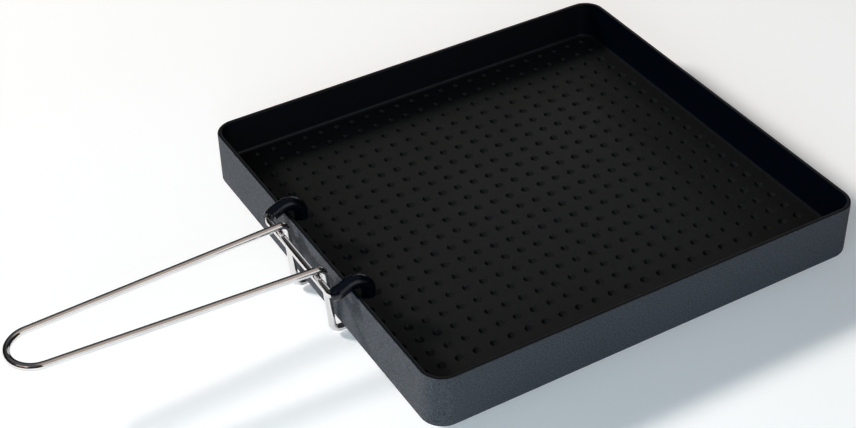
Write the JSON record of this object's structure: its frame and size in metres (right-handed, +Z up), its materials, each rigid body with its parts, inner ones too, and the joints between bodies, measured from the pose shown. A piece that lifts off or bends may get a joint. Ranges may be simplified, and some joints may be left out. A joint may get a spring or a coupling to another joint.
{
  "type": "camp griddle plate",
  "caption": "Low square cast griddle pan with a dimpled floor, and a wire handle that hooks over the rim, swings up and lifts off.",
  "frame": {"origin": "on the table, under the middle of the pan, where the two standing ribs cross", "axes": "+Z up; the handle points to -X; Y runs along the wall that the handle hooks on to"},
  "size_m": [0.4145, 0.24, 0.0479],
  "materials": {
    "pan": "cast aluminium with a dark matte non-stick coat inside and a dark grey speckled coat outside",
    "wire": "bright plated steel wire",
    "sleeve": "black smooth heat-proof tube"
  },
  "bodies": {
    "pan": {"griddle_pan": "pan"},
    "clip": {"hook_wire": "wire", "left_sleeve": "sleeve", "right_sleeve": "sleeve"},
    "handle": {"handle_wire": "wire"}
  },
  "joints": [
    {"name": "bracket_lift", "type": "slide", "parent": "pan", "child": "clip", "axis": [0, 0, 1], "range_m": [0, 0.018]},
    {"name": "handle_swing", "type": "hinge", "parent": "clip", "child": "handle", "pos_m": [-0.1365, -0.0043, 0.03981], "axis": [0, 1, 0], "range_deg": [0, 135]}
  ],
  "couplings": [
    {"joint": "bracket_lift", "follows": "handle_swing", "m_per_rad": 0.00763}
  ]
}
